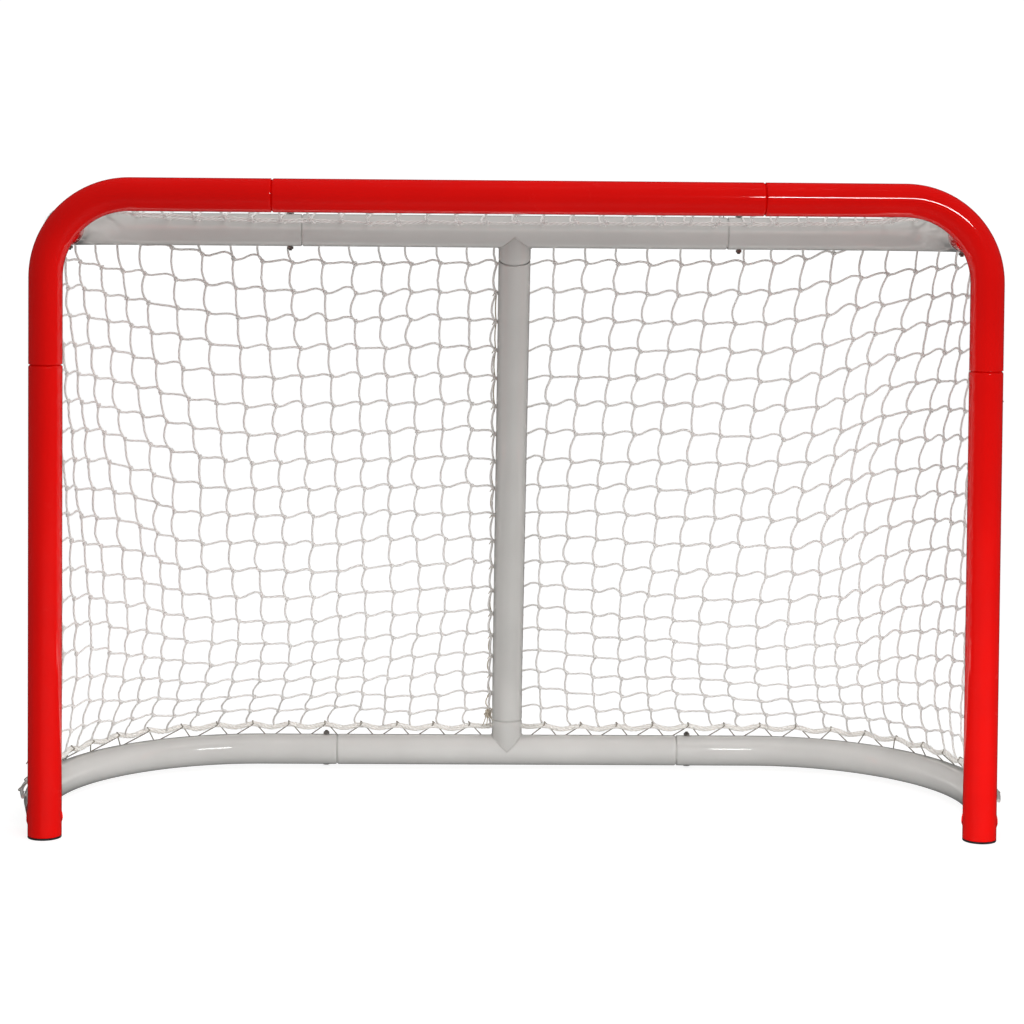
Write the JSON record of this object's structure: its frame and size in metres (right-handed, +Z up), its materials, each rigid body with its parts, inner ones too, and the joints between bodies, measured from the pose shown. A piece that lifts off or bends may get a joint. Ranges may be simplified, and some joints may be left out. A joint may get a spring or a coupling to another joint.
{
  "type": "hockey goal net",
  "caption": "Knock-down hockey goal: red tubular front frame, white rear and floor frames with a slanted centre post, and a laced white knotted net.",
  "frame": {"origin": "on the floor, under the middle of the goal's bounding box", "axes": "+Z up, +Y from the mouth to the back of the net, +X to the right seen from the front"},
  "size_m": [1.7184, 0.6238, 1.112],
  "materials": {
    "red_paint": "glossy powder coat",
    "white_paint": "glossy powder coat",
    "zinc_steel": "dull zinc",
    "black_plastic": "matte",
    "net_twine": "knotted white twine",
    "border_rope": "fuzzy braided rope",
    "lacing_cord": "thin twisted cord"
  },
  "bodies": {
    "root": {"left_post": "red_paint", "left_elbow": "red_paint", "left_foot_cap": "black_plastic", "right_post": "red_paint", "right_elbow": "red_paint", "right_foot_cap": "black_plastic", "crossbar": "red_paint", "left_elbow_stub": "red_paint", "left_base_stub": "red_paint", "right_elbow_stub": "red_paint", "right_base_stub": "red_paint", "left_rear_rail": "white_paint", "right_rear_rail": "white_paint", "middle_rear_rail": "white_paint", "left_base_rail": "white_paint", "right_base_rail": "white_paint", "middle_base_rail": "white_paint", "centre_post": "white_paint", "centre_post_top_stub": "white_paint", "centre_post_foot_stub": "white_paint", "left_arm_bolt": "zinc_steel", "left_arm_nut": "zinc_steel", "left_rear_rail_bolt": "zinc_steel", "left_rear_rail_nut": "zinc_steel", "left_base_arm_bolt": "zinc_steel", "left_base_arm_nut": "zinc_steel", "left_base_rail_bolt": "zinc_steel", "left_base_rail_nut": "zinc_steel", "left_post_screw": "zinc_steel", "left_crossbar_screw": "zinc_steel", "right_arm_bolt": "zinc_steel", "right_arm_nut": "zinc_steel", "right_rear_rail_bolt": "zinc_steel", "right_rear_rail_nut": "zinc_steel", "right_base_arm_bolt": "zinc_steel", "right_base_arm_nut": "zinc_steel", "right_base_rail_bolt": "zinc_steel", "right_base_rail_nut": "zinc_steel", "right_post_screw": "zinc_steel", "right_crossbar_screw": "zinc_steel", "crossbar_lacing_rod": "red_paint", "left_post_lacing_rod": "red_paint", "right_post_lacing_rod": "red_paint", "middle_base_lacing_rod": "white_paint", "left_base_lacing_rod": "white_paint", "right_base_lacing_rod": "white_paint", "base_border_rope": "border_rope", "front_border_rope": "border_rope", "base_lacing": "lacing_cord", "crossbar_lacing": "lacing_cord", "centre_post_lacing": "lacing_cord", "left_post_lacing": "lacing_cord", "right_post_lacing": "lacing_cord", "net_top": "net_twine", "net_left_side": "net_twine", "net_back_left": "net_twine", "net_right_side": "net_twine", "net_back_right": "net_twine"}
  },
  "joints": []
}
